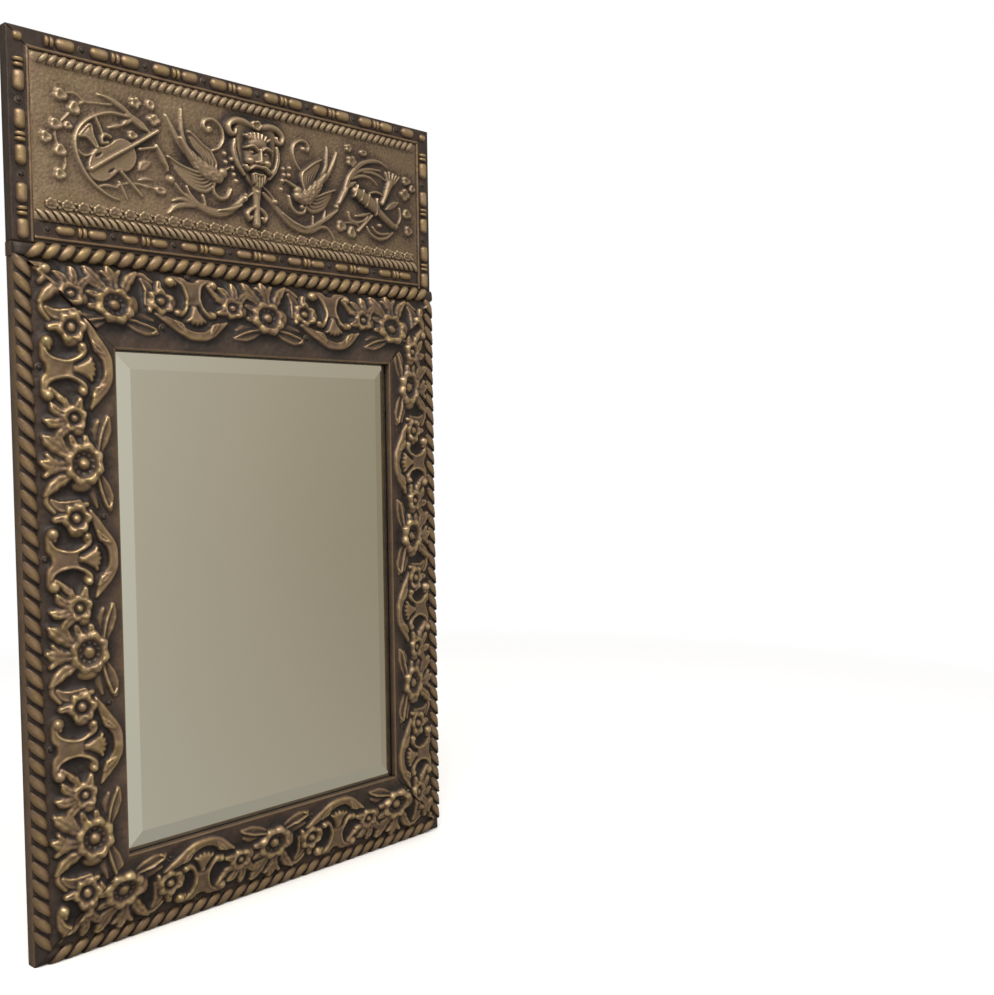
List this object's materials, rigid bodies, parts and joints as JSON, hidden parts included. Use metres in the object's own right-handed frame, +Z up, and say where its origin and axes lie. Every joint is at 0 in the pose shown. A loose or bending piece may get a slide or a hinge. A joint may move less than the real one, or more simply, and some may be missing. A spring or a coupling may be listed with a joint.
{
  "type": "wall mirror",
  "caption": "Wall mirror with bevelled glass in a deep wooden frame clad in pressed brass: floral strips, rope edges and a figured frieze on top, hung from swinging rings.",
  "frame": {"origin": "on the back face of the backboard, behind the centre of the mirror section", "axes": "+X to the right seen from the front, +Y into the wall, +Z up; the front faces -Y"},
  "size_m": [0.364, 0.0306, 0.6],
  "materials": {
    "carcass_wood": "stained pine, planed",
    "backboard_wood": "aged pine board",
    "packing_wood": "raw pine",
    "mirror_glass": "silvered plate glass, bevelled",
    "embossed_brass": "pressed sheet, dark patina rubbed back on the high parts",
    "pin_brass": "tarnished",
    "hanger_brass": "tarnished",
    "screw_steel": "aged steel"
  },
  "bodies": {
    "mirror": {"backboard": "backboard_wood", "backboard_screws": "screw_steel", "bead_strip_bottom": "embossed_brass", "bead_strip_left": "embossed_brass", "bead_strip_right": "embossed_brass", "bead_strip_top": "embossed_brass", "corner_keys": "packing_wood", "floral_bottom": "embossed_brass", "floral_left": "embossed_brass", "floral_pins": "pin_brass", "floral_right": "embossed_brass", "floral_top": "embossed_brass", "frame_bottom": "carcass_wood", "frame_left": "carcass_wood", "frame_right": "carcass_wood", "frame_top": "carcass_wood", "frieze_board": "carcass_wood", "frieze_panel": "embossed_brass", "frieze_pins": "pin_brass", "hanger_plate_left": "hanger_brass", "hanger_plate_right": "hanger_brass", "hanger_screws": "screw_steel", "joint_dowels": "packing_wood", "joint_rope": "embossed_brass", "mirror_glass": "mirror_glass", "packing_bottom": "packing_wood", "packing_left": "packing_wood", "packing_right": "packing_wood", "packing_top": "packing_wood", "tie_batten_left": "carcass_wood", "tie_batten_right": "carcass_wood", "tie_screws": "screw_steel"},
    "ring_left": {"hanger_ring_left": "hanger_brass"},
    "ring_right": {"hanger_ring_right": "hanger_brass"}
  },
  "joints": [
    {"name": "left_ring_swing", "type": "hinge", "parent": "mirror", "child": "ring_left", "pos_m": [-0.13, -0.0034, 0.3245], "axis": [1, 0, 0], "range_deg": [0, 180]},
    {"name": "right_ring_swing", "type": "hinge", "parent": "mirror", "child": "ring_right", "pos_m": [0.13, -0.0034, 0.3245], "axis": [1, 0, 0], "range_deg": [0, 180]}
  ]
}
